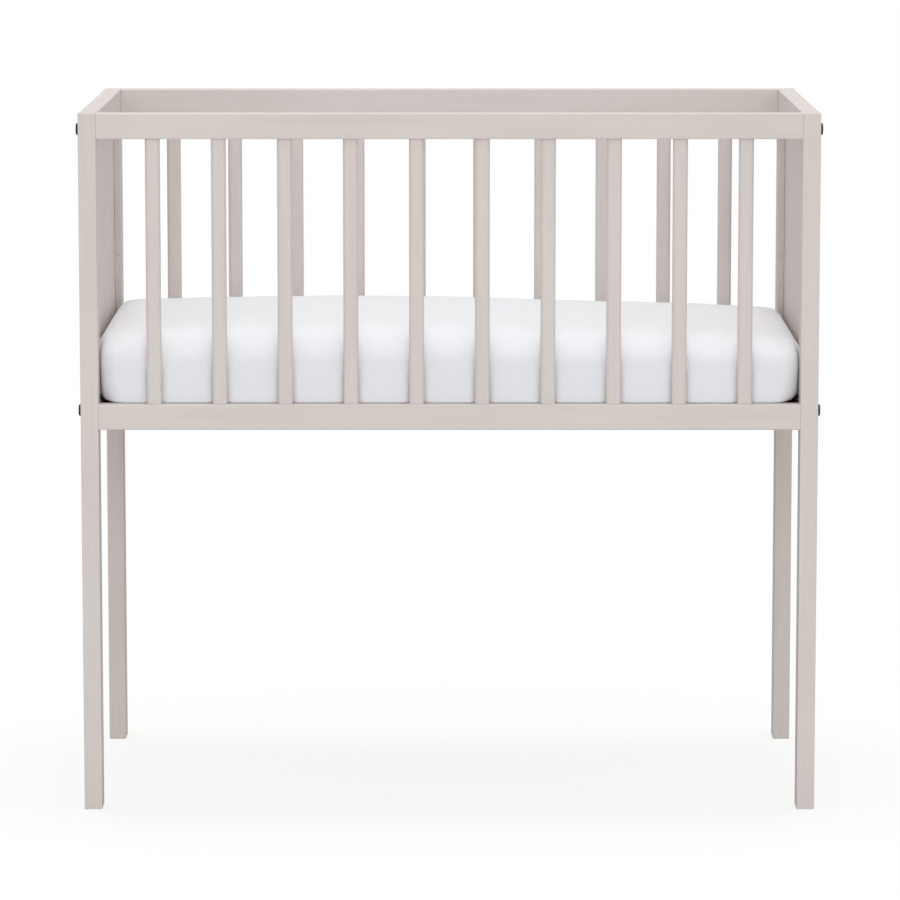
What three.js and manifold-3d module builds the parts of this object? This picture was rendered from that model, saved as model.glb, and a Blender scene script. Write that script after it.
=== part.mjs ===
// A slatted wooden cradle on four tall posts, with a loose mattress.
// Millimetres, +Z up. The origin is on the floor under the middle of the cradle, and the front faces -Y.
import * as THREE from "three";
import { mergeVertices } from "three/addons/utils/BufferGeometryUtils.js";
import Module from "manifold-3d";

const wasm = await Module();
wasm.setup();

// Overall size, over the posts
const overallLength = 850;
const overallDepth = 450;
const overallHeight = 811;

// Clearances between fitted pieces, and how far a cutting tool overruns a face
const fitGap = 0.3;
const cutOverrun = 2;

// Posts: leg and corner upright in one piece
const postWidth = 20.5;
const postDepth = 34;

// Side rails: outer faces flush with the posts, ends butted against them
const railHeight = 29.5;
const railThickness = 20;
const bedUnderside = 446;

// Eased edges: posts and butted rail ends are nearly sharp, the rails' long edges are softer
const postEdgeRound = 0.9;
const postEndRound = 0.7;
const railEdgeRound = 1.6;
const railEndRound = 0.4;
const endRoundShare = 0.8;
const roundLimitShare = 0.4;
const roundSegments = 2;

// Slats: flat, with well rounded edges, let into the rails
const slatCount = 10;
const slatWidth = 17;
const slatThickness = 12;
const slatRound = 4.5;
const slatSegments = 3;
const slatEndGap = 55.7;
const slatTenon = 9;

// Ends: a thin panel in grooves, between rails as thick as the posts
const endRailHeight = 29.5;
const endTenonLength = 12;
const endTenonThickness = 8;
const endTenonShoulder = 1.5;
const panelThickness = 4;
const grooveDepth = 6;

// A short saw kerf in the inward face of each post, beside the panel
const kerfRise = 132;
const kerfHeight = 1.4;
const kerfDepth = 1.2;

// Connector bolts through the posts, into threaded inserts in the rail ends
const topBoltDrop = 18.6;
const bottomBoltRise = 22;
const boltRadius = 3;
const boltHeadRadius = 6.9;
const boltHeadHeight = 2.6;
const boltHeadChamfer = 0.9;
const socketRadius = 2.3;
const socketDepth = 1.8;
const socketSides = 6;
const insertRadius = 4.5;
const insertLength = 13;
const insertSetback = 1;
const boreSpare = 1.5;
const boltSides = 16;
const boreSides = 12;

// Base board with air holes, on two cleats
const boardRise = 24;
const boardThickness = 6;
const boardGap = 0.8;
const airHoleRadius = 11;
const airHoleColumns = 6;
const airHoleRows = 3;
const airHoleMargin = 75;
const cleatWidth = 12;
const cleatHeight = 12;
const cleatEndGap = 25;

// Countersunk screws that hold the cleats
const screwsPerCleat = 3;
const screwEndGap = 60;
const screwRadius = 1.75;
const screwHeadRadius = 3.5;
const screwHeadHeight = 2;
const screwBite = 10;
const screwTip = 2;
const screwSides = 10;

// Mattress: crowned top, drawn-in sides, rounded corners
const mattressThickness = 86;
const mattressEndClearance = 1.5;
const mattressSideClearance = 1.5;
const mattressSoftGap = 0.3;
const mattressTopRadius = 34;
const mattressUnderRadius = 12;
const mattressCornerRadius = 24;
const mattressCrown = 8;
const mattressDraw = 1.5;
const mattressCellsLong = 24;
const mattressCellsWide = 16;
const drawPower = 4;
const crownPower = 2;

// Places that follow from the sizes above
const railLength = overallLength - 2 * postWidth;
const endRailLength = overallDepth - 2 * postDepth;
const postX = (overallLength - postWidth) / 2;
const postY = (overallDepth - postDepth) / 2;
const railY = (overallDepth - railThickness) / 2;
const topRailZ = overallHeight - railHeight / 2;
const bottomRailZ = bedUnderside + railHeight / 2;
const bottomRailTop = bedUnderside + railHeight;
const topRailUnderside = overallHeight - railHeight;
const endTopRailZ = overallHeight - endRailHeight / 2;
const endBottomRailZ = bedUnderside + endRailHeight / 2;
const endPanelBottom = bedUnderside + endRailHeight;
const endPanelTop = overallHeight - endRailHeight;
const endTenonHeight = endRailHeight - 2 * (grooveDepth + endTenonShoulder);
const innerWidth = overallDepth - 2 * railThickness;
const boardTop = bedUnderside + boardRise;
const boltHeights = { top: overallHeight - topBoltDrop, bottom: bedUnderside + bottomBoltRise };
const sides = { left: -1, right: 1 };
const faces = { front: -1, rear: 1 };
const quarterTurn = Math.PI / 2;

// Materials
function finish(color, roughness, metalness) {
  return new THREE.MeshStandardMaterial({ color, roughness, metalness });
}
const greigePaint = () => finish(0xd3cbc7, 0.55, 0);
const brownHardboard = () => finish(0x5c4331, 0.7, 0);
const plainPine = () => finish(0xdcc193, 0.7, 0);
const blackSteel = () => finish(0x17171a, 0.4, 0.6);
const zincSteel = () => finish(0xb9bcc0, 0.35, 0.9);
const whiteCover = () => finish(0xeeeef1, 0.9, 0);

// Solids: joining and cutting closed geometries
function solidOf(geometry) {
  const bare = geometry.index ? geometry.toNonIndexed() : geometry.clone();
  bare.deleteAttribute("normal");
  bare.deleteAttribute("uv");
  const merged = mergeVertices(bare);
  const mesh = new wasm.Mesh({
    numProp: 3,
    vertProperties: merged.attributes.position.array,
    triVerts: new Uint32Array(merged.index.array),
  });
  return new wasm.Manifold(mesh);
}

function geometryOf(solid) {
  const mesh = solid.getMesh();
  const indexed = new THREE.BufferGeometry();
  indexed.setAttribute("position", new THREE.BufferAttribute(mesh.vertProperties, mesh.numProp));
  indexed.setIndex(new THREE.BufferAttribute(mesh.triVerts, 1));
  const flat = indexed.toNonIndexed();
  flat.computeVertexNormals();
  return flat;
}

function shaped(body, { joins = [], cuts = [] }) {
  let solid = solidOf(body);
  for (const piece of joins) {
    solid = solid.add(solidOf(piece));
  }
  for (const tool of cuts) {
    solid = solid.subtract(solidOf(tool));
  }
  return geometryOf(solid);
}

// Plain shapes
function roundedRectangle(width, height, round) {
  const x = width / 2;
  const y = height / 2;
  const radius = Math.min(round, width * roundLimitShare, height * roundLimitShare);
  const shape = new THREE.Shape();
  shape.moveTo(radius - x, -y);
  shape.lineTo(x - radius, -y);
  shape.absarc(x - radius, radius - y, radius, -quarterTurn, 0);
  shape.lineTo(x, y - radius);
  shape.absarc(x - radius, y - radius, radius, 0, quarterTurn);
  shape.lineTo(radius - x, y);
  shape.absarc(radius - x, y - radius, radius, quarterTurn, 2 * quarterTurn);
  shape.lineTo(-x, radius - y);
  shape.absarc(radius - x, radius - y, radius, 2 * quarterTurn, 3 * quarterTurn);
  return shape;
}

// A bar along Z, centred on the origin, with its long edges and its ends eased
function easedBar(width, height, length, edgeRound, endRound) {
  const limit = Math.min(edgeRound, width * roundLimitShare, height * roundLimitShare);
  const bevel = Math.min(endRound, endRoundShare * limit);
  const geometry = new THREE.ExtrudeGeometry(roundedRectangle(width, height, edgeRound), {
    depth: length - 2 * bevel,
    curveSegments: roundSegments,
    bevelEnabled: true,
    bevelThickness: bevel,
    bevelSize: bevel,
    bevelOffset: -bevel,
    bevelSegments: roundSegments,
  });
  return geometry.translate(0, 0, bevel - length / 2);
}

function box(sizeX, sizeY, sizeZ, x, y, z) {
  return new THREE.BoxGeometry(sizeX, sizeY, sizeZ).translate(x, y, z);
}

// A cylinder along X, from x to x + length
function drillAlongX(radius, length, x, y, z) {
  return new THREE.CylinderGeometry(radius, radius, length, boreSides)
    .rotateZ(quarterTurn)
    .translate(x + length / 2, y, z);
}

function slatBlank(extra, length) {
  const outline = roundedRectangle(slatWidth + 2 * extra, slatThickness + 2 * extra, slatRound + extra);
  const settings = { depth: length, curveSegments: slatSegments, bevelEnabled: false };
  return new THREE.ExtrudeGeometry(outline, settings).translate(0, 0, -length / 2);
}

const cradle = new THREE.Group();

function addPiece(name, geometry, material, x, y, z) {
  const mesh = new THREE.Mesh(geometry, material);
  mesh.name = name;
  mesh.position.set(x, y, z);
  cradle.add(mesh);
  return mesh;
}

// Posts, cut for the bolts, the end rails' tenons, the panel and the kerf
function postGeometry(side, face) {
  const middle = overallHeight / 2;
  const blank = easedBar(postWidth, postDepth, overallHeight, postEdgeRound, postEndRound);
  blank.translate(0, 0, middle);
  const innerFace = -face * postDepth / 2;
  const cuts = [];
  for (const height of Object.values(boltHeights)) {
    const length = postWidth + 2 * cutOverrun;
    cuts.push(drillAlongX(boltRadius + fitGap, length, -length / 2, face * (railY - postY), height));
  }
  const mortiseDepth = endTenonLength + fitGap + cutOverrun;
  const mortiseY = innerFace + face * (mortiseDepth / 2 - cutOverrun);
  for (const height of [endTopRailZ, endBottomRailZ]) {
    const width = endTenonThickness + 2 * fitGap;
    cuts.push(box(width, mortiseDepth, endTenonHeight + 2 * fitGap, 0, mortiseY, height));
  }
  const grooveHeight = endPanelTop - endPanelBottom + 2 * grooveDepth;
  const grooveSpan = grooveDepth + cutOverrun;
  const grooveY = innerFace + face * (grooveSpan / 2 - cutOverrun);
  const grooveZ = (endPanelTop + endPanelBottom) / 2;
  cuts.push(box(panelThickness + 2 * fitGap, grooveSpan, grooveHeight, 0, grooveY, grooveZ));
  const kerfWidth = (postWidth - panelThickness) / 2 - postEdgeRound;
  const kerfX = -side * (panelThickness + kerfWidth) / 2;
  const kerfSpan = kerfDepth + cutOverrun;
  const kerfY = innerFace + face * (kerfSpan / 2 - cutOverrun);
  cuts.push(box(kerfWidth, kerfSpan, kerfHeight, kerfX, kerfY, bottomRailTop + kerfRise));
  return shaped(blank, { cuts });
}

function addPosts() {
  for (const [faceName, face] of Object.entries(faces)) {
    for (const [sideName, side] of Object.entries(sides)) {
      const name = `post_${faceName}_${sideName}`;
      addPiece(name, postGeometry(side, face), greigePaint(), side * postX, face * postY, 0);
    }
  }
}

// Side rails, with slat mortises, insert bores and, on the bottom rails, the cleat screws' pilot holes
const slatSpan = railLength - 2 * slatEndGap - slatWidth;
const slatPlaces = Array.from({ length: slatCount }, (_, i) => slatSpan * (i / (slatCount - 1) - 1 / 2));
const cleatLength = railLength - 2 * cleatEndGap;
const screwSpan = cleatLength - 2 * screwEndGap;
const screwPlaces = Array.from(
  { length: screwsPerCleat },
  (_, i) => screwSpan * (i / (screwsPerCleat - 1) - 1 / 2),
);
const cleatTop = boardTop - boardThickness;
const cleatZ = cleatTop - cleatHeight / 2;

function railGeometry(level, face) {
  const blank = easedBar(railHeight, railThickness, railLength, railEdgeRound, railEndRound);
  blank.rotateY(quarterTurn);
  const isTop = level === "top";
  const railZ = isTop ? topRailZ : bottomRailZ;
  const slatFace = isTop ? -railHeight / 2 : railHeight / 2;
  const inward = isTop ? 1 : -1;
  const mortiseLength = slatTenon + fitGap + cutOverrun;
  const mortiseZ = slatFace + inward * (mortiseLength / 2 - cutOverrun);
  const cuts = slatPlaces.map((x) => slatBlank(fitGap, mortiseLength).translate(x, 0, mortiseZ));
  const boreLength = insertSetback + insertLength + boreSpare + cutOverrun;
  for (const side of Object.values(sides)) {
    const start = side * (railLength / 2 + cutOverrun);
    const x = Math.min(start, start - side * boreLength);
    cuts.push(drillAlongX(insertRadius + fitGap, boreLength, x, 0, boltHeights[level] - railZ));
  }
  if (!isTop) {
    for (const x of screwPlaces) {
      cuts.push(screwTool(face).translate(x, -face * (railThickness / 2 + cleatWidth), cleatZ - railZ));
    }
  }
  return shaped(blank, { cuts });
}

function addSideRails() {
  for (const [faceName, face] of Object.entries(faces)) {
    const y = face * railY;
    addPiece(`${faceName}_top_rail`, railGeometry("top", face), greigePaint(), 0, y, topRailZ);
    addPiece(`${faceName}_bottom_rail`, railGeometry("bottom", face), greigePaint(), 0, y, bottomRailZ);
  }
}

function addSlats() {
  const length = topRailUnderside - bottomRailTop + 2 * slatTenon;
  const middle = (topRailUnderside + bottomRailTop) / 2;
  for (const [faceName, face] of Object.entries(faces)) {
    slatPlaces.forEach((x, i) => {
      const name = `${faceName}_slat_${String(i + 1).padStart(2, "0")}`;
      addPiece(name, slatBlank(0, length), greigePaint(), x, face * railY, middle);
    });
  }
}

// End rails, tenoned into the posts and grooved for the panel
function endRailGeometry(grooveSide) {
  const blank = easedBar(postWidth, endRailHeight, endRailLength, railEdgeRound, railEndRound);
  blank.rotateX(-quarterTurn);
  const tenonSpan = endRailLength + 2 * endTenonLength;
  const tenons = box(endTenonThickness, tenonSpan, endTenonHeight, 0, 0, 0);
  const grooveWidth = panelThickness + 2 * fitGap;
  const grooveHeight = grooveDepth + cutOverrun;
  const grooveZ = grooveSide * (endRailHeight / 2 + cutOverrun - grooveHeight / 2);
  const groove = box(grooveWidth, endRailLength + 2 * cutOverrun, grooveHeight, 0, 0, grooveZ);
  return shaped(blank, { joins: [tenons], cuts: [groove] });
}

function addEnds() {
  const panelDepth = endRailLength + 2 * (grooveDepth - fitGap);
  const panelHeight = endPanelTop - endPanelBottom + 2 * (grooveDepth - fitGap);
  const panelZ = (endPanelTop + endPanelBottom) / 2;
  for (const [sideName, side] of Object.entries(sides)) {
    const x = side * postX;
    addPiece(`end_top_rail_${sideName}`, endRailGeometry(-1), greigePaint(), x, 0, endTopRailZ);
    addPiece(`end_bottom_rail_${sideName}`, endRailGeometry(1), greigePaint(), x, 0, endBottomRailZ);
    const panel = new THREE.BoxGeometry(panelThickness, panelDepth, panelHeight);
    addPiece(`end_panel_${sideName}`, panel, greigePaint(), x, 0, panelZ);
  }
}

// Connector bolts: the head's seat is at the origin, and the shank runs along -Y until it is turned
function boltGeometry() {
  const shankLength = postWidth + insertSetback + insertLength;
  const profile = [
    new THREE.Vector2(0, -shankLength),
    new THREE.Vector2(boltRadius, -shankLength),
    new THREE.Vector2(boltRadius, 0),
    new THREE.Vector2(boltHeadRadius, 0),
    new THREE.Vector2(boltHeadRadius, boltHeadHeight - boltHeadChamfer),
    new THREE.Vector2(boltHeadRadius - boltHeadChamfer, boltHeadHeight),
    new THREE.Vector2(0, boltHeadHeight),
  ];
  const toolLength = socketDepth + cutOverrun;
  const socket = new THREE.CylinderGeometry(socketRadius, socketRadius, toolLength, socketSides)
    .translate(0, boltHeadHeight - socketDepth + toolLength / 2, 0);
  return shaped(new THREE.LatheGeometry(profile, boltSides), { cuts: [socket] });
}

function insertGeometry() {
  const inner = boltRadius + fitGap;
  const profile = [
    new THREE.Vector2(inner, 0),
    new THREE.Vector2(insertRadius, 0),
    new THREE.Vector2(insertRadius, insertLength),
    new THREE.Vector2(inner, insertLength),
    new THREE.Vector2(inner, 0),
  ];
  return new THREE.LatheGeometry(profile, boreSides);
}

function addFittings() {
  for (const [faceName, face] of Object.entries(faces)) {
    for (const [sideName, side] of Object.entries(sides)) {
      for (const [level, height] of Object.entries(boltHeights)) {
        const place = `${faceName}_${sideName}_${level}`;
        const outward = -side * quarterTurn;
        const bolt = boltGeometry().rotateZ(outward);
        addPiece(`bolt_${place}`, bolt, blackSteel(), side * overallLength / 2, face * railY, height);
        const insert = insertGeometry().rotateZ(-outward);
        const insertX = side * (railLength / 2 - insertSetback);
        addPiece(`insert_${place}`, insert, zincSteel(), insertX, face * railY, height);
      }
    }
  }
}

// Cleat screws: the head is flush at the origin, and the shank runs towards the rail
function screwProfile(extra, headTop, length) {
  return [
    new THREE.Vector2(0, headTop),
    new THREE.Vector2(screwHeadRadius + extra, headTop),
    new THREE.Vector2(screwHeadRadius + extra, 0),
    new THREE.Vector2(screwRadius + extra, -screwHeadHeight),
    new THREE.Vector2(screwRadius + extra, -length),
    new THREE.Vector2(0, -length - screwTip),
  ].reverse();
}

function screwSolid(extra, headTop, length, face) {
  const profile = screwProfile(extra, headTop, length);
  return new THREE.LatheGeometry(profile, screwSides).rotateZ((1 + face) * quarterTurn);
}

const screwLength = cleatWidth + screwBite;

function screwGeometry(face) {
  return screwSolid(0, 0, screwLength, face);
}

function screwTool(face) {
  return screwSolid(fitGap, cutOverrun, screwLength + fitGap, face);
}

// Base board and its cleats
function boardGeometry(length, width) {
  const board = new THREE.BoxGeometry(length, width, boardThickness);
  const stepX = (length - 2 * airHoleMargin) / (airHoleColumns - 1);
  const stepY = (width - 2 * airHoleMargin) / (airHoleRows - 1);
  const cuts = [];
  for (let column = 0; column < airHoleColumns; column += 1) {
    for (let row = 0; row < airHoleRows; row += 1) {
      const x = airHoleMargin - length / 2 + column * stepX;
      const y = airHoleMargin - width / 2 + row * stepY;
      const drill = new THREE.CylinderGeometry(
        airHoleRadius, airHoleRadius, boardThickness + 2 * cutOverrun, boreSides,
      );
      cuts.push(drill.rotateX(quarterTurn).translate(x, y, 0));
    }
  }
  return shaped(board, { cuts });
}

function addBase() {
  const board = boardGeometry(railLength - 2 * boardGap, innerWidth - 2 * boardGap);
  addPiece("base_board", board, brownHardboard(), 0, 0, boardTop - boardThickness / 2);
  for (const [faceName, face] of Object.entries(faces)) {
    const cleatY = face * (innerWidth - cleatWidth) / 2;
    const screwY = face * (innerWidth / 2 - cleatWidth);
    const bar = new THREE.BoxGeometry(cleatLength, cleatWidth, cleatHeight);
    const cuts = screwPlaces.map((x) => screwTool(face).translate(x, screwY - cleatY, 0));
    addPiece(`${faceName}_cleat`, shaped(bar, { cuts }), plainPine(), 0, cleatY, cleatZ);
    screwPlaces.forEach((x, i) => {
      addPiece(`${faceName}_cleat_screw_${i + 1}`, screwGeometry(face), zincSteel(), x, screwY, cleatZ);
    });
  }
}

// Mattress: a grid of points over and under, crowding towards the edges
const mattressRounds = {
  top: Math.min(mattressTopRadius, mattressThickness * roundLimitShare),
  under: Math.min(mattressUnderRadius, mattressThickness * roundLimitShare),
};

function quarterRound(distance, radius) {
  const t = 1 - Math.min(distance / radius, 1);
  return Math.sqrt(1 - t * t);
}

// Pulls a point in the square corner zone onto the rounded corner
function roundedPlan(x, y, halfLength, halfWidth) {
  const p = (Math.abs(x) - halfLength) / mattressCornerRadius + 1;
  const q = (Math.abs(y) - halfWidth) / mattressCornerRadius + 1;
  if (p <= 0 || q <= 0) {
    return [x, y];
  }
  const reachX = halfLength + mattressCornerRadius * (p * Math.sqrt(1 - q * q / 2) - 1);
  const reachY = halfWidth + mattressCornerRadius * (q * Math.sqrt(1 - p * p / 2) - 1);
  return [Math.sign(x) * reachX, Math.sign(y) * reachY];
}

function mattressPoint(column, row, layer, halfLength, halfWidth) {
  const u = Math.sin(quarterTurn * (2 * column / mattressCellsLong - 1));
  const v = Math.sin(quarterTurn * (2 * row / mattressCellsWide - 1));
  const radius = mattressRounds[layer];
  const endEdge = quarterRound(halfLength * (1 - Math.abs(u)), radius);
  const edge = endEdge * quarterRound(halfWidth * (1 - Math.abs(v)), radius);
  const [planX, planY] = roundedPlan(halfLength * u, halfWidth * v, halfLength, halfWidth);
  const x = planX - mattressDraw * u * (1 - Math.abs(v) ** drawPower);
  const y = planY - mattressDraw * v * (1 - Math.abs(u) ** drawPower);
  const crown = mattressCrown * (1 - Math.abs(u) ** drawPower) * (1 - Math.abs(v) ** crownPower);
  const height = mattressThickness / 2 - radius * (1 - edge);
  return layer === "top" ? [x, y, height + crown] : [x, y, -height];
}

function mattressGeometry() {
  const halfLength = railLength / 2 - mattressEndClearance;
  const halfWidth = innerWidth / 2 - mattressSideClearance;
  const [top, under] = Object.keys(mattressRounds);
  const positions = [];
  const at = (column, row, layer) => mattressPoint(column, row, layer, halfLength, halfWidth);
  const quad = (a, b, c, d) => positions.push(...a, ...b, ...c, ...a, ...c, ...d);
  for (let column = 0; column < mattressCellsLong; column += 1) {
    for (let row = 0; row < mattressCellsWide; row += 1) {
      const next = column + 1;
      const far = row + 1;
      quad(at(column, row, top), at(next, row, top), at(next, far, top), at(column, far, top));
      quad(at(column, row, under), at(column, far, under), at(next, far, under), at(next, row, under));
    }
    const next = column + 1;
    const far = mattressCellsWide;
    quad(at(column, 0, under), at(next, 0, under), at(next, 0, top), at(column, 0, top));
    quad(at(next, far, under), at(column, far, under), at(column, far, top), at(next, far, top));
  }
  for (let row = 0; row < mattressCellsWide; row += 1) {
    const far = row + 1;
    const end = mattressCellsLong;
    quad(at(0, far, under), at(0, row, under), at(0, row, top), at(0, far, top));
    quad(at(end, row, under), at(end, far, under), at(end, far, top), at(end, row, top));
  }
  const geometry = new THREE.BufferGeometry();
  geometry.setAttribute("position", new THREE.Float32BufferAttribute(positions, 3));
  geometry.computeVertexNormals();
  return geometry;
}

function addMattress() {
  const z = boardTop + mattressSoftGap + mattressThickness / 2;
  addPiece("mattress", mattressGeometry(), whiteCover(), 0, 0, z);
}

addPosts();
addSideRails();
addSlats();
addEnds();
addFittings();
addBase();
addMattress();

export default cradle;
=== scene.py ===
"""Looks for a slatted cradle: materials, mattress, floor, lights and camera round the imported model."""

import math

import bpy
import numpy as np
from mathutils import Euler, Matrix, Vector


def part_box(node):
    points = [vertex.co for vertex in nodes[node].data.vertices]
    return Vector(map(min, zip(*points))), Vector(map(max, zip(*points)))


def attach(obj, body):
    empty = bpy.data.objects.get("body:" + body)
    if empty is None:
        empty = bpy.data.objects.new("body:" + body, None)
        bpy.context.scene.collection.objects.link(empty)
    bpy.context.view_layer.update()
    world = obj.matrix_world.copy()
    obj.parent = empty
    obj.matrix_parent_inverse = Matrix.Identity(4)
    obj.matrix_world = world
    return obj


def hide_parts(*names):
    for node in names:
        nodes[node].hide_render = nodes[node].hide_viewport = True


SMOOTH_ANGLE = math.radians(36)
BEVEL_ANGLE = math.radians(40)
WELD = 2e-5
WHITE = (1.0, 1.0, 1.0, 1.0)
AXES = "XYZ"

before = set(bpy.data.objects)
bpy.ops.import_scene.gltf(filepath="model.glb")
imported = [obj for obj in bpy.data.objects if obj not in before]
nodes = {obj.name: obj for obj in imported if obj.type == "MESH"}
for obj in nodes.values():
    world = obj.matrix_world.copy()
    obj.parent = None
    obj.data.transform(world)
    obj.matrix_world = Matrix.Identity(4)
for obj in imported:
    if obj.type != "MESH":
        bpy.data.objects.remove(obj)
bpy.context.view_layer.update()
scene = bpy.context.scene


def srgb(red, green, blue):
    """A linear colour from 0 to 255 values as a screen shows them."""
    values = [c / 255 for c in (red, green, blue)]
    return tuple(c / 12.92 if c <= 0.04045 else ((c + 0.055) / 1.055) ** 2.4 for c in values) + (1.0,)


# Node trees in few words
class Tree:
    """A material or world node tree; put() adds a node, and its words are inputs, sockets or values."""

    def __init__(self, holder):
        holder.use_nodes = True
        self.holder = holder
        self.tree = holder.node_tree
        self.tree.nodes.clear()

    def put(self, kind, settings=None, **inputs):
        made = self.tree.nodes.new(kind)
        for key, value in (settings or {}).items():
            setattr(made, key, value)
        for key, value in inputs.items():
            name = key.replace("_", " ")
            index = {"a": 0, "b": 1}.get(key)
            socket = made.inputs[index] if index is not None else made.inputs[name]
            self.link(socket, value)
        return made

    def link(self, socket, value):
        if isinstance(value, bpy.types.NodeSocket):
            self.tree.links.new(value, socket)
        else:
            socket.default_value = value

    def math(self, operation, a, b=0.0):
        return self.put("ShaderNodeMath", {"operation": operation}, a=a, b=b).outputs[0]

    def span(self, value, low, high, to_low=0.0, to_high=1.0, kind="SMOOTHSTEP"):
        """Value stretched from low and high to two other ends."""
        made = self.put("ShaderNodeMapRange", {"interpolation_type": kind})
        given = {"Value": value, "From Min": low, "From Max": high, "To Min": to_low, "To Max": to_high}
        for name, item in given.items():
            self.link(made.inputs[name], item)
        return made.outputs["Result"]

    def mix(self, share, first, second):
        made = self.put("ShaderNodeMix", {"data_type": "RGBA"})
        self.link(made.inputs[0], share)
        self.link(made.inputs[6], first)
        self.link(made.inputs[7], second)
        return made.outputs[2]

    def place(self, scale=(1.0, 1.0, 1.0), shift=(0.0, 0.0, 0.0)):
        """The piece's own coordinates in metres, moved and scaled."""
        source = self.put("ShaderNodeTexCoord").outputs["Object"]
        return self.put("ShaderNodeMapping", Vector=source, Scale=scale, Location=shift).outputs["Vector"]

    def noise(self, vector, scale, detail, roughness=0.5):
        return self.put(
            "ShaderNodeTexNoise", Vector=vector, Scale=scale, Detail=detail, Roughness=roughness
        ).outputs["Fac"]

    def bump(self, height, distance, strength=1.0, under=None):
        made = self.put("ShaderNodeBump", Height=height, Distance=distance, Strength=strength)
        if under is not None:
            self.link(made.inputs["Normal"], under)
        return made.outputs["Normal"]

    def finish(self, **inputs):
        shader = self.put("ShaderNodeBsdfPrincipled")
        for key, value in inputs.items():
            self.link(shader.inputs[key.replace("_", " ")], value)
        self.put("ShaderNodeOutputMaterial", Surface=shader.outputs["BSDF"])
        return self.holder


def new_tree(name):
    return Tree(bpy.data.materials.new(name))


# Paint on wood: the grain runs along one axis and shows faintly through, and a painted highlight pales
# the edges
PAINT = srgb(217, 209, 205)
PAINT_DEEP = srgb(212, 204, 200)
# Paler paint and the edge radius it reaches, for a painted highlight along the eased edges
PAINT_EDGE_HIGHLIGHT = srgb(220, 213, 209)
PAINT_GLOSS = 0.02
GRAIN_STRETCH = 0.03
STREAKS_SHIFT = (0.7, 0.2, 0.5)
EDGE_HIGHLIGHT_RADIUS = 0.0012


def grain_scale(axis):
    return tuple(GRAIN_STRETCH if letter == axis else 1.0 for letter in AXES)


def edge_share(tree, radius):
    """How far the surface turns within a small radius: 0 on flats, towards 1 on edges."""
    soft = tree.put("ShaderNodeBevel", {"samples": 6}, Radius=radius).outputs["Normal"]
    true = tree.put("ShaderNodeNewGeometry").outputs["Normal"]
    same = tree.put("ShaderNodeVectorMath", {"operation": "DOT_PRODUCT"}, a=soft, b=true)
    return tree.span(same.outputs["Value"], 0.98, 0.8)


def painted_wood(name, axis):
    tree = new_tree(name)
    fibres = tree.noise(tree.place(grain_scale(axis)), scale=1300.0, detail=3.0, roughness=0.6)
    streaks_place = tree.place(grain_scale(axis), STREAKS_SHIFT)
    streaks = tree.noise(streaks_place, scale=160.0, detail=2.0, roughness=0.55)
    cloud = tree.noise(tree.place(), scale=5.0, detail=2.0)
    peel = tree.noise(tree.place(), scale=620.0, detail=1.0)
    tone = tree.math("ADD", tree.math("MULTIPLY", streaks, 0.5), tree.math("MULTIPLY", cloud, 0.5))
    colour = tree.mix(tree.span(tone, 0.36, 0.64), PAINT_DEEP, PAINT)
    # painted highlight: the colour turns paler on the eased edges, where light catches them
    colour = tree.mix(tree.math("MULTIPLY", edge_share(tree, EDGE_HIGHLIGHT_RADIUS), 0.25), colour, PAINT_EDGE_HIGHLIGHT)
    satin = tree.math("ADD", tree.math("MULTIPLY", fibres, 0.4), tree.math("MULTIPLY", cloud, 0.6))
    rough = tree.span(satin, 0.3, 0.7, 0.46, 0.6)
    normal = tree.bump(peel, distance=0.00005, strength=0.5)
    normal = tree.bump(fibres, distance=0.00007, strength=0.5, under=normal)
    normal = tree.bump(streaks, distance=0.00008, strength=0.4, under=normal)
    return tree.finish(Base_Color=colour, Roughness=rough, Specular_IOR_Level=PAINT_GLOSS, Normal=normal)


def painted_board(name):
    tree = new_tree(name)
    peel = tree.noise(tree.place(), scale=480.0, detail=2.0)
    cloud = tree.noise(tree.place(scale=(1.0, 1.0, 0.4)), scale=6.0, detail=3.0)
    colour = tree.mix(tree.span(cloud, 0.35, 0.65), PAINT_DEEP, PAINT)
    rough = tree.span(cloud, 0.3, 0.7, 0.5, 0.6)
    normal = tree.bump(peel, distance=0.00008, strength=0.6)
    return tree.finish(Base_Color=colour, Roughness=rough, Specular_IOR_Level=PAINT_GLOSS, Normal=normal)


# Brown hardboard: flecks, with the fine grid of the press screen
BROWN = srgb(92, 68, 50)
BROWN_PALE = srgb(128, 99, 74)
BROWN_DARK = srgb(78, 57, 42)
SCREEN_TURN = 2100.0


def hardboard():
    tree = new_tree("brown_hardboard")
    fleck = tree.noise(tree.place(), scale=700.0, detail=4.0, roughness=0.65)
    cloud = tree.noise(tree.place(), scale=12.0, detail=3.0)
    colour = tree.mix(tree.span(fleck, 0.35, 0.68), BROWN, BROWN_PALE)
    colour = tree.mix(tree.span(cloud, 0.3, 0.7, 0.0, 0.35), colour, BROWN_DARK)
    weave = []
    for axis in (0, 1):
        part = tree.put("ShaderNodeSeparateXYZ", Vector=tree.place()).outputs[axis]
        weave.append(tree.math("ABSOLUTE", tree.math("SINE", tree.math("MULTIPLY", part, SCREEN_TURN))))
    screen = tree.math("MULTIPLY", weave[0], weave[1])
    height = tree.math("ADD", screen, tree.math("MULTIPLY", fleck, 0.6))
    normal = tree.bump(height, distance=0.00018, strength=0.7)
    rough = tree.span(fleck, 0.3, 0.7, 0.6, 0.78)
    return tree.finish(Base_Color=colour, Roughness=rough, Normal=normal)


PINE = srgb(214, 184, 138)
PINE_PALE = srgb(230, 205, 164)
PINE_RING = srgb(190, 148, 96)


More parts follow.
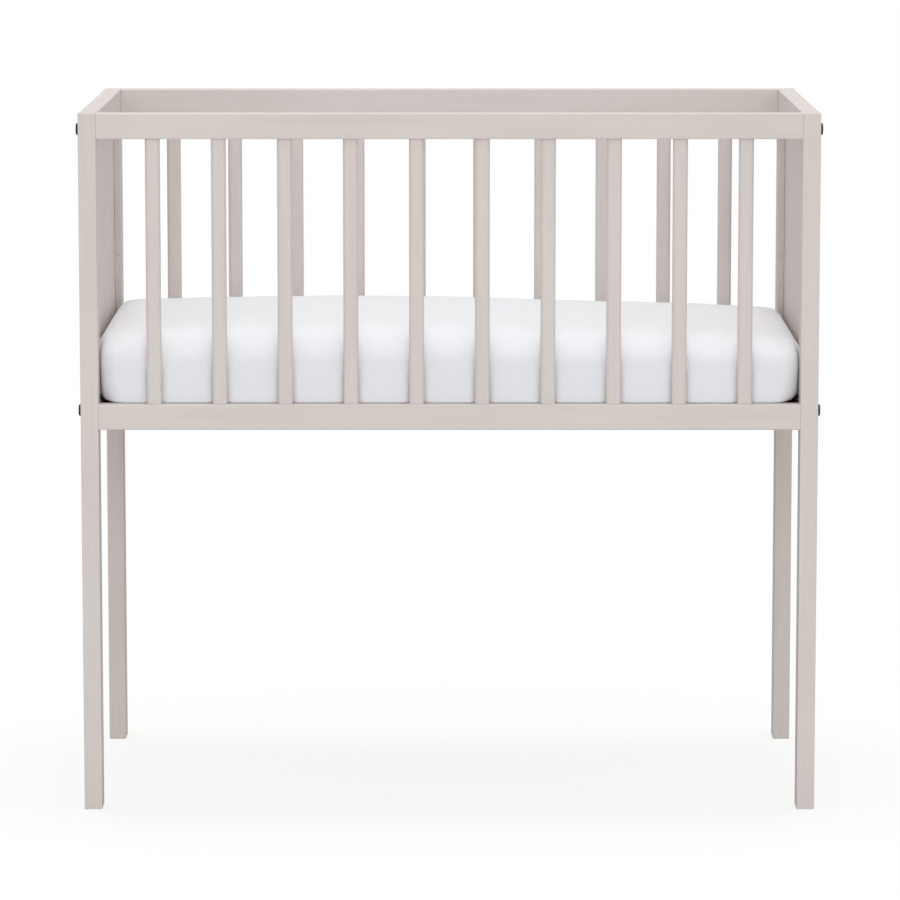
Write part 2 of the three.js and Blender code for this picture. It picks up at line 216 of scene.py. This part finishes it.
def bare_pine():
    tree = new_tree("bare_pine")
    rings = tree.noise(tree.place(grain_scale("X")), scale=240.0, detail=3.0)
    fibres = tree.noise(tree.place(grain_scale("X")), scale=1500.0, detail=2.0, roughness=0.6)
    colour = tree.mix(tree.span(rings, 0.38, 0.62), PINE, PINE_PALE)
    colour = tree.mix(tree.span(rings, 0.6, 0.7, 0.0, 0.5), colour, PINE_RING)
    rough = tree.span(fibres, 0.3, 0.7, 0.55, 0.7)
    normal = tree.bump(fibres, distance=0.00012, strength=0.7)
    return tree.finish(Base_Color=colour, Roughness=rough, Normal=normal)


# Steel: black with worn edges on the bolts, zinc crystals on the hidden metal
BLACK = srgb(24, 24, 26)
BLACK_SPECK = srgb(46, 46, 49)
BLACK_WORN = srgb(92, 92, 96)
BLACK_WORN_EDGE = 0.0004
ZINC = srgb(176, 178, 182)
ZINC_PALE = srgb(202, 204, 208)


def black_steel():
    tree = new_tree("black_steel")
    speck = tree.noise(tree.place(), scale=1600.0, detail=3.0, roughness=0.6)
    colour = tree.mix(tree.span(speck, 0.4, 0.75), BLACK, BLACK_SPECK)
    colour = tree.mix(tree.math("MULTIPLY", edge_share(tree, BLACK_WORN_EDGE), 0.5), colour, BLACK_WORN)
    rough = tree.span(speck, 0.3, 0.7, 0.34, 0.5)
    normal = tree.bump(speck, distance=0.00003, strength=0.6)
    return tree.finish(Base_Color=colour, Metallic=0.55, Roughness=rough, Normal=normal)


def zinc_steel():
    tree = new_tree("zinc_steel")
    crystal = tree.put("ShaderNodeTexVoronoi", Vector=tree.place(), Scale=900.0).outputs["Color"]
    shade = tree.put("ShaderNodeSeparateColor", Color=crystal).outputs["Red"]
    colour = tree.mix(shade, ZINC, ZINC_PALE)
    rough = tree.span(shade, 0.0, 1.0, 0.26, 0.42)
    return tree.finish(Base_Color=colour, Metallic=1.0, Roughness=rough)


# A knitted cover: fine ribs both ways, a faint nap and a soft sheen
KNIT_PITCH = 0.0009
COVER = srgb(227, 228, 233)
COVER_RIB = srgb(232, 233, 238)
COVER_CLOUD = srgb(225, 227, 232)
COVER_SHEEN = srgb(251, 253, 255)


def knitted_cover():
    tree = new_tree("knitted_cover")
    wobble = tree.noise(tree.place(), scale=90.0, detail=2.0)
    cloud = tree.noise(tree.place(), scale=9.0, detail=3.0, roughness=0.55)
    nap = tree.noise(tree.place(), scale=1900.0, detail=3.0, roughness=0.7)
    turn = 2 * math.pi / KNIT_PITCH
    ribs = []
    for axis in range(3):
        part = tree.put("ShaderNodeSeparateXYZ", Vector=tree.place()).outputs[axis]
        phase = tree.math("ADD", tree.math("MULTIPLY", part, turn), tree.math("MULTIPLY", wobble, 3.0))
        ribs.append(tree.math("SINE", phase))
    pairs = ((0, 1), (0, 2), (1, 2))
    across = [tree.math("MULTIPLY", ribs[first], ribs[second]) for first, second in pairs]
    weave = tree.math("ADD", tree.math("ADD", across[0], across[1]), across[2])
    colour = tree.mix(tree.span(weave, -1.0, 1.0), COVER, COVER_RIB)
    colour = tree.mix(tree.span(cloud, 0.35, 0.65, 0.0, 0.35), colour, COVER_CLOUD)
    normal = tree.bump(nap, distance=0.00006, strength=0.5)
    normal = tree.bump(weave, distance=0.00005, strength=0.4, under=normal)
    rough = {"Roughness": 0.9, "Diffuse_Roughness": 1.0, "Specular_IOR_Level": 0.2}
    sheen = {"Sheen_Weight": 1.0, "Sheen_Roughness": 1.0, "Sheen_Tint": COVER_SHEEN}
    return tree.finish(Base_Color=colour, Normal=normal, **rough, **sheen)


# Shading of the carried-over solids: weld the split corners, then smooth all but sharp edges
def smoothing_group():
    group = bpy.data.node_groups.new("smooth_by_angle", "GeometryNodeTree")
    group.interface.new_socket("Geometry", in_out="INPUT", socket_type="NodeSocketGeometry")
    group.interface.new_socket("Geometry", in_out="OUTPUT", socket_type="NodeSocketGeometry")
    add = group.nodes.new
    start, end = add("NodeGroupInput"), add("NodeGroupOutput")
    weld = add("GeometryNodeMergeByDistance")
    weld.inputs["Distance"].default_value = WELD
    bare = add("GeometryNodeRemoveAttribute")
    bare.inputs["Name"].default_value = "custom_normal"
    smooth = add("GeometryNodeSetShadeSmooth")
    smooth.domain = "FACE"
    smooth.inputs["Shade Smooth"].default_value = True
    angle = add("GeometryNodeInputMeshEdgeAngle")
    limit = add("FunctionNodeCompare")
    limit.inputs["B"].default_value = SMOOTH_ANGLE
    crease = add("GeometryNodeSetShadeSmooth")
    crease.domain = "EDGE"
    crease.inputs["Shade Smooth"].default_value = False
    link = group.links.new
    link(start.outputs[0], weld.inputs["Geometry"])
    link(weld.outputs["Geometry"], bare.inputs["Geometry"])
    link(bare.outputs["Geometry"], smooth.inputs["Geometry"])
    link(angle.outputs["Unsigned Angle"], limit.inputs["A"])
    link(limit.outputs["Result"], crease.inputs["Selection"])
    link(smooth.outputs["Geometry"], crease.inputs["Geometry"])
    link(crease.outputs["Geometry"], end.inputs[0])
    return group


# Eased edges where the solid's are sharp
BOLT_EASE = 0.00012
BOARD_EASE = 0.0004
CLEAT_EASE = 0.0005


def dress(name, material, group, bevel=0.0):
    piece = nodes[name]
    piece.data.materials.clear()
    piece.data.materials.append(material)
    piece.modifiers.new("smooth", "NODES").node_group = group
    if bevel:
        eased = piece.modifiers.new("eased", "BEVEL")
        eased.width = bevel
        eased.segments = 2
        eased.limit_method = "ANGLE"
        eased.angle_limit = BEVEL_ANGLE
    weighted = piece.modifiers.new("weighted", "WEIGHTED_NORMAL")
    weighted.keep_sharp = True


def dress_frame():
    group = smoothing_group()
    along = {axis: painted_wood(f"paint_along_{axis.lower()}", axis) for axis in AXES}
    board_paint = painted_board("paint_on_board")
    black = black_steel()
    zinc = zinc_steel()
    brown = hardboard()
    pine = bare_pine()
    for name in nodes:
        if name.startswith("post_") or "_slat_" in name:
            dress(name, along["Z"], group)
        elif name.startswith("end_panel"):
            dress(name, board_paint, group)
        elif name.startswith("end_"):
            dress(name, along["Y"], group)
        elif name.endswith("_rail"):
            dress(name, along["X"], group)
        elif name.startswith("bolt_"):
            dress(name, black, group, BOLT_EASE)
        elif name.startswith("insert_") or "_screw_" in name:
            dress(name, zinc, group)
        elif name == "base_board":
            dress(name, brown, group, BOARD_EASE)
        elif name.endswith("_cleat"):
            dress(name, pine, group, CLEAT_EASE)


# Mattress: a structured shell, swollen as cloth over its foam, then pressed between the slats
# Grid, with finer cells beside the slats
CELL = 0.006
FINE_CELL = 0.0024
FINE_REACH = 0.005
CORNER_CELLS = 8
ARC_STEPS = 12
WALL_STEPS = 8
UNDER_STEPS = 3
SAMPLES = 4000
TINY = 1e-9

# Height without the crown, and how the top's edge reaches in, falls and rounds at sides and ends
BODY = 0.0879
SIDE_REACH = 0.066
END_REACH = 0.028
SIDE_FALL = 0.0457
END_FALL = 0.036
SIDE_POWER = 2.8
END_POWER = 2.5

# Room left to the slats and end rails, and the way in under the wall, past the rails' top edges
SIDE_SPARE = 0.0007
END_SPARE = 0.0007
TUCK = 0.0045
LIP_RISES = (0.0004, 0.0024)
UNDER_ROUND = 0.0045

# Corner radii in plan, at the top, on the wall and at the foot
CORE_CORNER = 0.010
PLAN_CORNER = 0.018
FOOT_CORNER = 0.030

# Crown, the long bow with its peak, one sag, and waves: size, turn along, turn across, start
CROWN = 0.0062
BOW = 0.048
BOW_PEAK = -0.125
SAG = 0.0022
SAG_PLACE = 0.135
SAG_REACH = 0.12
WAVES = ((0.0005, 6.1, 1.3, 0.0), (0.0004, 11.0, -2.0, 1.0))

# Cloth, held fully up to a share of the height and weakly above it
CLOTH = {
    "quality": 4,
    "mass": 0.25,
    "tension_stiffness": 12,
    "compression_stiffness": 4,
    "shear_stiffness": 4,
    "bending_stiffness": 0.4,
    "use_pressure": True,
    "uniform_pressure_force": 3.0,
    "shrink_min": -0.012,
    "pin_stiffness": 0.35,
}
CLOTH_FRAMES = 20
HOLD_HEIGHT = 0.12
HOLD_BELOW = 1.0
HOLD_ABOVE = 0.25
SWELL_CAP = 0.003
SWELL_ROUNDS = 12


def smoothstep(value):
    value = np.clip(value, 0.0, 1.0)
    return value * value * (3 - 2 * value)


def span_share(value, low, high):
    return (value - low) / (high - low)


def slat_edges():
    """Places along the cradle where a slat's side face stands."""
    names = [name for name in sorted(nodes) if name.startswith("front_slat_")]
    return [corner.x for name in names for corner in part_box(name)]


def even_shares(reach):
    """Evenly spaced places on a side, as shares of its reach."""
    return np.linspace(-1, 1, round(2 * reach / CELL) + 1)[1:-1]


def column_shares(reach):
    """Places on a long side as shares of its reach, closer together beside the slats."""
    along = np.linspace(-reach, reach, SAMPLES)
    near = np.zeros(SAMPLES)
    for place in slat_edges():
        near = np.maximum(near, 1 - smoothstep((np.abs(along - place) - FINE_REACH) / FINE_REACH))
    density = 1 / (CELL + (FINE_CELL - CELL) * near)
    total = np.concatenate([[0], np.cumsum((density[1:] + density[:-1]) / 2 * np.diff(along))])
    cells = round(total[-1])
    return np.interp(np.arange(1, cells) * total[-1] / cells, total, along) / reach


def rounded_loop(half_x, half_y, radius, shares_x, shares_y):
    """Points round a rounded rectangle, from the end of the front side's left corner."""
    side_x, side_y = (half_x - radius) * shares_x, (half_y - radius) * shares_y
    runs = [side_x, side_y, -side_x, -side_y]
    corners = [(1, -1), (1, 1), (-1, 1), (-1, -1)]
    points = []
    for number, (sx, sy) in enumerate(corners):
        if number % 2 == 0:
            points += [(value, sy * half_y) for value in runs[number]]
        else:
            points += [(sx * half_x, value) for value in runs[number]]
        for step in range(CORNER_CELLS + 1):
            angle = math.pi / 2 * (number - 1 + step / CORNER_CELLS)
            x = sx * (half_x - radius) + radius * math.cos(angle)
            points.append((x, sy * (half_y - radius) + radius * math.sin(angle)))
    return np.array(points)


def coons(loop, cells_x, cells_y):
    """A grid of points inside a closed loop that starts at the grid's first corner."""
    bottom = loop[: cells_x + 1]
    right = loop[cells_x : cells_x + cells_y + 1]
    top = loop[cells_x + cells_y : 2 * cells_x + cells_y + 1][::-1]
    left = np.vstack([loop[2 * cells_x + cells_y :], loop[:1]])[::-1]
    u = np.linspace(0, 1, cells_x + 1)[:, None, None]
    v = np.linspace(0, 1, cells_y + 1)[None, :, None]
    ruled = (1 - v) * bottom[:, None] + v * top[:, None] + (1 - u) * left[None, :] + u * right[None, :]
    corners = (1 - u) * (1 - v) * bottom[0] + u * (1 - v) * bottom[-1]
    corners = corners + (1 - u) * v * top[0] + u * v * top[-1]
    return ruled - corners


def edge_profile(rail_rise, reach, fall, power):
    """Rows of (inset, height, corner radius) from the top's edge, down the wall and round under."""
    rows = []
    for step in range(ARC_STEPS + 1):
        angle = math.pi / 2 * step / ARC_STEPS
        out, down = math.sin(angle) ** (2 / power), math.cos(angle) ** (2 / power)
        radius = CORE_CORNER + (PLAN_CORNER - CORE_CORNER) * out
        rows.append((reach * (1 - out), BODY - fall * (1 - down), radius))
    wall_top, wall_foot = BODY - fall, rail_rise + LIP_RISES[-1]
    for step in range(1, WALL_STEPS + 1):
        share = step / WALL_STEPS
        radius = PLAN_CORNER + (FOOT_CORNER - PLAN_CORNER) * share
        rows.append((0.0, wall_top + (wall_foot - wall_top) * share, radius))
    rows.append((0.0, rail_rise + LIP_RISES[0], FOOT_CORNER))
    for step in range(UNDER_STEPS + 1):
        angle = math.pi / 2 * step / UNDER_STEPS
        inward = TUCK + UNDER_ROUND * (1 - math.cos(angle))
        rows.append((inward, UNDER_ROUND * (1 - math.sin(angle)), FOOT_CORNER - inward))
    return rows


def top_lift(points, half_x, half_y):
    """How far the top stands over the plain body: crown and waves, less the long bow and the sag."""
    u, v = points[:, 0] / half_x, points[:, 1] / half_y
    crown = CROWN * (1 - u**4) * (1 - v * v)
    waves = sum(size * np.sin(along * u + across * v + start) for size, along, across, start in WAVES)
    bow = BOW * (points[:, 0] - BOW_PEAK) ** 2
    sag = SAG * np.exp(-(((points[:, 0] - SAG_PLACE) / SAG_REACH) ** 2))
    return crown + waves * (1 - v * v) - (bow + sag)


def mattress_shell(low, high):
    half_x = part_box("end_bottom_rail_right")[0].x - END_SPARE
    half_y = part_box("rear_slat_01")[0].y - SIDE_SPARE
    reach = np.array([END_REACH, SIDE_REACH])
    core = np.array([half_x, half_y]) - reach
    shares_x, shares_y = column_shares(half_x - PLAN_CORNER), even_shares(half_y - PLAN_CORNER)
    cells_x, cells_y = len(shares_x) + 1 + CORNER_CELLS, len(shares_y) + 1 + CORNER_CELLS
    rings = []
    rail_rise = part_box("rear_bottom_rail")[1].z - low.z
    side_rows = edge_profile(rail_rise, SIDE_REACH, SIDE_FALL, SIDE_POWER)
    end_rows = edge_profile(rail_rise, END_REACH, END_FALL, END_POWER)
    for (side_inset, side_height, radius), (end_inset, end_height, _) in zip(side_rows, end_rows):
        loop = rounded_loop(half_x - end_inset, half_y - side_inset, radius, shares_x, shares_y)
        # the loop starts in the middle of the front left corner
        rings.append((np.roll(loop, CORNER_CELLS // 2, axis=0), (side_height, end_height)))
    verts, faces = [], []

    def add(points, heights):
        """The top's edge falls less at the ends, so a ring rises towards them."""
        start = len(verts)
        past_x, past_y = (np.maximum(np.abs(points) - core, 0) / reach).T
        end_share = past_x**2 / (past_x**2 + past_y**2 + TINY)
        height = heights[0] + (heights[1] - heights[0]) * end_share
        lift_share = np.clip((height - BODY + SIDE_FALL) / SIDE_FALL, 0, 1)
        height = height + lift_share * top_lift(points, half_x, half_y)
        verts.extend(np.column_stack([points, height]).tolist())
        return start

    def cap(loop, heights, flip):
        grid = coons(loop, cells_x, cells_y)
        start = add(grid.reshape(-1, 2), heights)
        index = start + np.arange(len(verts) - start).reshape(cells_x + 1, cells_y + 1)
        for i in range(cells_x):
            for j in range(cells_y):
                quad = [index[i, j], index[i + 1, j], index[i + 1, j + 1], index[i, j + 1]]
                faces.append(quad[::-1] if flip else quad)
        ends = [index[:-1, 0], index[-1, :-1], index[:0:-1, -1], index[0, :0:-1]]
        return np.concatenate(ends)

    ring = cap(*rings[0], False)
    for loop, heights in rings[1:-1]:
        start = add(loop, heights)
        below = np.arange(start, start + len(loop))
        join(faces, ring, below)
        ring = below
    join(faces, ring, cap(*rings[-1], True))
    mesh = bpy.data.meshes.new("mattress_cover")
    centre = np.array([(low.x + high.x) / 2, (low.y + high.y) / 2, low.z])
    mesh.from_pydata((np.array(verts) + centre).tolist(), [], faces)
    mesh.update()
    piece = bpy.data.objects.new("mattress_cover", mesh)
    scene.collection.objects.link(piece)
    return piece


def join(faces, upper, lower):
    count = len(upper)
    for i in range(count):
        after = (i + 1) % count
        faces.append([int(corner) for corner in (upper[i], lower[i], lower[after], upper[after])])


def coordinates(mesh):
    values = np.empty(len(mesh.vertices) * 3, np.float64)
    mesh.vertices.foreach_get("co", values)
    return values.reshape(-1, 3)


def put_coordinates(mesh, values):
    mesh.vertices.foreach_set("co", values.ravel())
    mesh.update()


def spread_out(mesh, values, rounds):
    """Values at the vertices, evened out along the edges."""
    ends = np.empty(len(mesh.edges) * 2, np.int64)
    mesh.edges.foreach_get("vertices", ends)
    first, second = ends.reshape(-1, 2).T
    count = np.bincount(ends, minlength=len(values))[:, None]
    for _ in range(rounds):
        total = np.zeros_like(values)
        np.add.at(total, first, values[second])
        np.add.at(total, second, values[first])
        values = (values + total / count) / 2
    return values


def swell(piece):
    """Cloth blown up softly over the shape, held to it by weak pins, its small folds evened out."""
    start = coordinates(piece.data)
    low, high = start[:, 2].min(), start[:, 2].max()
    hold = piece.vertex_groups.new(name="hold")
    for i, point in enumerate(start):
        share = (point[2] - low) / (high - low)
        hold.add([i], HOLD_BELOW if share < HOLD_HEIGHT else HOLD_ABOVE, "REPLACE")
    cloth = piece.modifiers.new("cloth", "CLOTH")
    for key, value in CLOTH.items():
        setattr(cloth.settings, key, value)
    cloth.settings.vertex_group_mass = hold.name
    cloth.settings.effector_weights.gravity = 0.0
    cloth.point_cache.frame_start = 1
    cloth.point_cache.frame_end = CLOTH_FRAMES
    for number in range(1, CLOTH_FRAMES + 1):
        scene.frame_set(number)
    shaped = piece.evaluated_get(bpy.context.evaluated_depsgraph_get()).to_mesh()
    moved = coordinates(shaped) - start
    piece.evaluated_get(bpy.context.evaluated_depsgraph_get()).to_mesh_clear()
    piece.modifiers.remove(cloth)
    piece.vertex_groups.clear()
    scene.frame_set(1)
    moved = spread_out(piece.data, moved, SWELL_ROUNDS)
    length = np.linalg.norm(moved, axis=1, keepdims=True) + TINY
    put_coordinates(piece.data, start + moved / length * SWELL_CAP * np.tanh(length / SWELL_CAP))


def refine(piece):
    """One subdivision, applied."""
    piece.modifiers.new("refine", "SUBSURF").levels = 1
    evaluated = piece.evaluated_get(bpy.context.evaluated_depsgraph_get())
    mesh = bpy.data.meshes.new_from_object(evaluated)
    piece.modifiers.clear()
    piece.data = mesh
    mesh.name = "mattress_cover"


# Bulges between the slats, the arch and crease over each, and their fading by height and at the ends
BULGE = 0.0036
BULGE_EDGE = 0.0065
BULGE_SPARE = 0.0005
PRESS_REACH = 0.042
BULGE_SOFTEN = (0.036, 0.064)
BULGE_FADE = (0.052, 0.080)
ARCH_SPRING = 0.056
ARCH_RISE = 0.023
CREASE_DEPTH = 0.0011
CREASE_WIDTH = 0.0040
END_FADE = 0.022

# Swell of the ends into the recesses over the end rails
RECESS_DEPTH = 0.0072
RECESS_START = 0.060
RECESS_RUN = 0.045
RECESS_LIP = 0.001
RECESS_RISE = 0.008
RECESS_SIDE = 0.176
RECESS_FADE = 0.022

# Rounding of the ends' feet, left and right
FOOT_INSETS = (0.006, 0.009)
FOOT_RISES = (0.014, 0.019)
FOOT_REACH = 0.060


def press_between_slats(piece, low):
    """The long sides rest against the slats and swell into the gaps between them, under low arches."""
    points = coordinates(piece.data)
    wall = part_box("rear_slat_01")[0].y - SIDE_SPARE
    rail_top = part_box("rear_bottom_rail")[1].z
    edges = slat_edges()
    half_gap = (edges[2] - edges[1]) / 2
    away = np.full(len(points), half_gap)
    for first, last in zip(edges[::2], edges[1::2]):
        outside = np.maximum(first - points[:, 0], points[:, 0] - last) - BULGE_SPARE
        away = np.minimum(away, np.maximum(outside, 0))
    height = points[:, 2] - low.z
    arch = np.maximum(height - ARCH_SPRING, 0) / ARCH_RISE
    inside = half_gap * (1 - np.hypot(1 - away / half_gap, arch))
    edge = BULGE_EDGE + (half_gap - BULGE_EDGE) * smoothstep(span_share(height, *BULGE_SOFTEN))
    rise = 1 - (1 - np.clip(inside / edge, 0, 1)) ** 2
    rise *= smoothstep((points[:, 2] - rail_top) / LIP_RISES[0])
    rise *= 1 - smoothstep(span_share(height, *BULGE_FADE))
    crease = np.exp(-((inside / CREASE_WIDTH) ** 2)) * smoothstep((height - ARCH_SPRING) / ARCH_RISE)
    side = smoothstep((np.abs(points[:, 1]) - wall + PRESS_REACH) / PRESS_REACH)
    side *= smoothstep((edges[-1] + 2 * half_gap - np.abs(points[:, 0])) / END_FADE)
    points[:, 1] += np.sign(points[:, 1]) * side * (BULGE * rise - CREASE_DEPTH * crease)
    put_coordinates(piece.data, points)


def fill_recesses(piece):
    """The ends swell past the posts' inner faces towards the end panels, over the end rails."""
    points = coordinates(piece.data)
    rail_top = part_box("end_bottom_rail_left")[1].z
    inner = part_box("end_bottom_rail_right")[0].x
    beyond = smoothstep((np.abs(points[:, 0]) - inner + RECESS_START) / RECESS_RUN)
    beyond *= smoothstep((points[:, 2] - rail_top - RECESS_LIP) / RECESS_RISE)
    # the fade is half done at the recess's side
    beyond *= smoothstep((RECESS_SIDE - np.abs(points[:, 1])) / RECESS_FADE + 0.5)
    points[:, 0] += np.sign(points[:, 0]) * RECESS_DEPTH * beyond
    put_coordinates(piece.data, points)


def round_feet(piece):
    """The ends round in above the rails, the right one more."""
    points = coordinates(piece.data)
    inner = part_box("end_bottom_rail_right")[0].x
    left = points[:, 0] < 0
    inset, rise = np.where(left, *FOOT_INSETS), np.where(left, *FOOT_RISES)
    short = np.clip(1 - (points[:, 2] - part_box("rear_bottom_rail")[1].z) / rise, 0, 1)
    inset *= 1 - np.sqrt(1 - short**2)
    inset *= smoothstep((np.abs(points[:, 0]) - inner + FOOT_REACH) / FOOT_REACH)
    points[:, 0] -= np.sign(points[:, 0]) * inset
    put_coordinates(piece.data, points)


# Seam, on the upright part of the surface only
SEAM_RISE = 0.025
SEAM_DEPTH = 0.0002
SEAM_WIDTH = 0.0022
SEAM_UPRIGHT = 0.7
SEAM_FADE = 0.2


def sew(piece, low):
    """A shallow seam round the side, a little above the underside."""
    mesh = piece.data
    points = coordinates(mesh)
    normals = np.empty(len(mesh.vertices) * 3)
    mesh.vertices.foreach_get("normal", normals)
    normals = normals.reshape(-1, 3)
    upright = np.hypot(normals[:, 0], normals[:, 1])
    near = np.exp(-(((points[:, 2] - low.z - SEAM_RISE) / SEAM_WIDTH) ** 2))
    near *= smoothstep((upright - SEAM_UPRIGHT) / SEAM_FADE)
    points -= normals * (SEAM_DEPTH * near)[:, None]
    put_coordinates(mesh, points)


def add_mattress():
    low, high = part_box("mattress")
    piece = mattress_shell(low, high)
    swell(piece)
    refine(piece)
    press_between_slats(piece, low)
    fill_recesses(piece)
    round_feet(piece)
    sew(piece, low)
    piece.data.materials.clear()
    piece.data.materials.append(knitted_cover())
    for polygon in piece.data.polygons:
        polygon.use_smooth = True
    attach(piece, "mattress")
    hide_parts("mattress")


# Studio: pale floor, even surroundings, a broad lamp in front, one on each side and one overhead
# The camera sees the floor white but for a share of its shadow, which fades with the distance
FLOOR_HALF = 40.0
FLOOR_DROP = 0.0002
FLOOR_TONE = srgb(200, 199, 197)
FLOOR_SHADOW_SHARE = 0.2
FLOOR_SHADOW_REACH = (0.6, 1.5)
DOME = 0.72
DOME_FRONT = 0.12
AIM = (0.0, -0.1, 0.70)
LAMPS = {
    # name: (azimuth from the front towards +X, elevation, distance, width, share of a full light)
    "key_front": (2.0, 8.0, 5.0, 3.0, 0.26),
    "side_right": (46.0, 10.0, 4.0, 2.4, 0.03),
    "side_left": (-46.0, 10.0, 4.0, 2.4, 0.02),
    "overhead": (180.0, 82.0, 6.0, 2.6, 0.38),
}


def seen_share(tree):
    """1 for rays that show the background: from the camera, in gloss and through glass."""
    path = tree.put("ShaderNodeLightPath").outputs
    either = tree.math("MAXIMUM", path["Is Camera Ray"], path["Is Glossy Ray"])
    return tree.math("MAXIMUM", either, path["Is Transmission Ray"])


def add_floor():
    bpy.ops.mesh.primitive_plane_add(size=2 * FLOOR_HALF, location=(0, 0, -FLOOR_DROP))
    floor = bpy.context.object
    floor.name = "studio_floor"
    tree = new_tree("pale_floor")
    plain = tree.put("ShaderNodeBsdfDiffuse", Color=FLOOR_TONE)
    lit = tree.put("ShaderNodeBsdfDiffuse", Color=WHITE)
    glow = tree.put("ShaderNodeEmission", Color=WHITE, Strength=1.0)
    near, far = FLOOR_SHADOW_REACH
    away = tree.put("ShaderNodeVectorMath", {"operation": "LENGTH"}, a=tree.place()).outputs["Value"]
    shown = tree.put("ShaderNodeMixShader", Fac=tree.span(away, near, far, FLOOR_SHADOW_SHARE, 0.0))
    tree.link(shown.inputs[1], glow.outputs[0])
    tree.link(shown.inputs[2], lit.outputs[0])
    both = tree.put("ShaderNodeMixShader", Fac=seen_share(tree))
    tree.link(both.inputs[1], plain.outputs[0])
    tree.link(both.inputs[2], shown.outputs[0])
    tree.put("ShaderNodeOutputMaterial", Surface=both.outputs[0])
    floor.data.materials.append(tree.holder)


def add_surroundings():
    world = bpy.data.worlds.new("studio")
    scene.world = world
    tree = Tree(world)
    direction = tree.put("ShaderNodeTexCoord").outputs["Generated"]
    backward = tree.put("ShaderNodeSeparateXYZ", Vector=direction).outputs["Y"]
    share = tree.math("SUBTRACT", 1.0, tree.math("MULTIPLY", backward, DOME_FRONT))
    light = tree.math("MULTIPLY", share, DOME)
    strength = tree.span(seen_share(tree), 0.0, 1.0, light, 1.0, "LINEAR")
    back = tree.put("ShaderNodeBackground", Color=WHITE, Strength=strength)
    tree.put("ShaderNodeOutputWorld", Surface=back.outputs[0])


def add_lamps():
    for name, (azimuth, elevation, distance, width, share) in LAMPS.items():
        lamp = bpy.data.lights.new(name, "AREA")
        lamp.size = width
        lamp.energy = share * math.pi**2 * distance**2
        holder = bpy.data.objects.new(name, lamp)
        turn = Euler((math.radians(90 - elevation), 0.0, math.radians(azimuth)))
        holder.rotation_euler = turn
        holder.location = Vector(AIM) + turn.to_matrix() @ Vector((0.0, 0.0, distance))
        scene.collection.objects.link(holder)


# Camera in front, looking down a little, in metres, degrees and millimetres
CAMERA_PLACE = (0.0007, -5.7406, 1.1929)
CAMERA_DIP = 7.948
LENS = 193.14
SENSOR = 36.0
FAR_CLIP = 200.0


def add_camera():
    lens = bpy.data.cameras.new("camera")
    lens.lens = LENS
    lens.sensor_width = SENSOR
    lens.clip_end = FAR_CLIP
    camera = bpy.data.objects.new("camera", lens)
    camera.location = CAMERA_PLACE
    camera.rotation_euler = (math.radians(90 - CAMERA_DIP), 0.0, 0.0)
    scene.collection.objects.link(camera)
    scene.camera = camera


add_camera()
dress_frame()
add_mattress()
add_floor()
add_surroundings()
add_lamps()
scene.view_settings.view_transform = "Standard"
